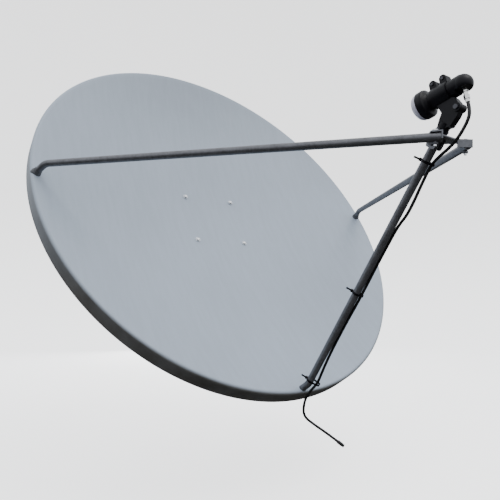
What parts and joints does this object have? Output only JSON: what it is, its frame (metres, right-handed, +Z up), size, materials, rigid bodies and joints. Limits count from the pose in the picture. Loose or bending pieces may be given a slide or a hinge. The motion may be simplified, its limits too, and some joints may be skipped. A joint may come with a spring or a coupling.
{
  "type": "satellite dish",
  "caption": "Offset satellite dish with rolled-edge reflector, bent side struts, lower feed boom, converter with lead, and a slotted elevation mount for a mast.",
  "frame": {"origin": "centre of the mast clamp, on the mast's axis", "axes": "+Z up along the mast, the dish looks towards -Y and upwards, +X to the right as seen from the front"},
  "size_m": [1.35, 1.3422, 1.3612],
  "materials": {
    "face_paint": "satin grey powder coat, slightly weathered",
    "galvanised_steel": "galvanised, dull spangle",
    "bracket_steel": "bright galvanised sheet",
    "bright_zinc": "bright zinc plate",
    "dull_zinc": "weathered zinc plate",
    "nickel_plate": "nickel plated brass",
    "jaw_aluminium": "as cast",
    "black_plastic": "moulded, fine texture",
    "foot_plastic": "moulded",
    "cap_plastic": "translucent white",
    "seal_rubber": "moulded",
    "board_laminate": "solder mask",
    "can_tin": "tinned sheet",
    "probe_brass": "turned",
    "lead_sheath": "smooth black sheath"
  },
  "bodies": {
    "mast_mount": {"mast_channel": "galvanised_steel", "pivot_bolt": "bright_zinc", "pivot_sleeve": "bright_zinc", "pivot_washers": "bright_zinc", "pivot_nut": "bright_zinc", "lock_bolts": "bright_zinc", "lock_washers": "bright_zinc", "lock_nuts": "bright_zinc", "clamp_jaws": "jaw_aluminium", "clamp_straps": "galvanised_steel", "clamp_bolts": "bright_zinc", "clamp_washers": "bright_zinc", "clamp_nuts": "bright_zinc"},
    "dish": {"reflector": "face_paint", "back_plate": "galvanised_steel", "left_cheek": "galvanised_steel", "right_cheek": "galvanised_steel", "left_strut": "galvanised_steel", "right_strut": "galvanised_steel", "feed_boom": "galvanised_steel", "cross_bracket": "bracket_steel", "face_bolts": "bright_zinc", "face_washers": "bright_zinc", "bracket_spacers": "bright_zinc", "bracket_washers": "bright_zinc", "bracket_nuts": "bright_zinc", "foot_plugs": "bright_zinc", "foot_bolts": "bright_zinc", "foot_washers": "bright_zinc", "strut_end_bolts": "bright_zinc", "pinch_screws": "dull_zinc", "pinch_nuts": "dull_zinc", "holder_bolts": "dull_zinc", "holder_nuts": "dull_zinc", "boom_bolt": "dull_zinc", "boom_nut": "dull_zinc", "strut_end_nuts": "dull_zinc", "feed_holder": "black_plastic", "cable_ties": "black_plastic", "strut_feet": "foot_plastic", "boom_foot": "foot_plastic", "lead": "lead_sheath", "lead_connector": "lead_sheath"},
    "converter": {"feed_horn": "black_plastic", "feed_cap": "cap_plastic", "cap_seal": "seal_rubber", "converter_body": "black_plastic", "rear_cover": "black_plastic", "circuit_board": "board_laminate", "screening_lid": "can_tin", "probe_pins": "probe_brass", "coax_port": "nickel_plate", "coax_plug": "nickel_plate"}
  },
  "joints": [
    {"name": "elevation", "type": "hinge", "parent": "mast_mount", "child": "dish", "pos_m": [0, -0.105, -0.03], "axis": [-1, 0, 0], "range_deg": [-30, 15]},
    {"name": "skew", "type": "hinge", "parent": "dish", "child": "converter", "pos_m": [0, -1.08475, 0.25187], "axis": [0, -0.9823, 0.1872], "range_deg": [-40, 40]}
  ]
}
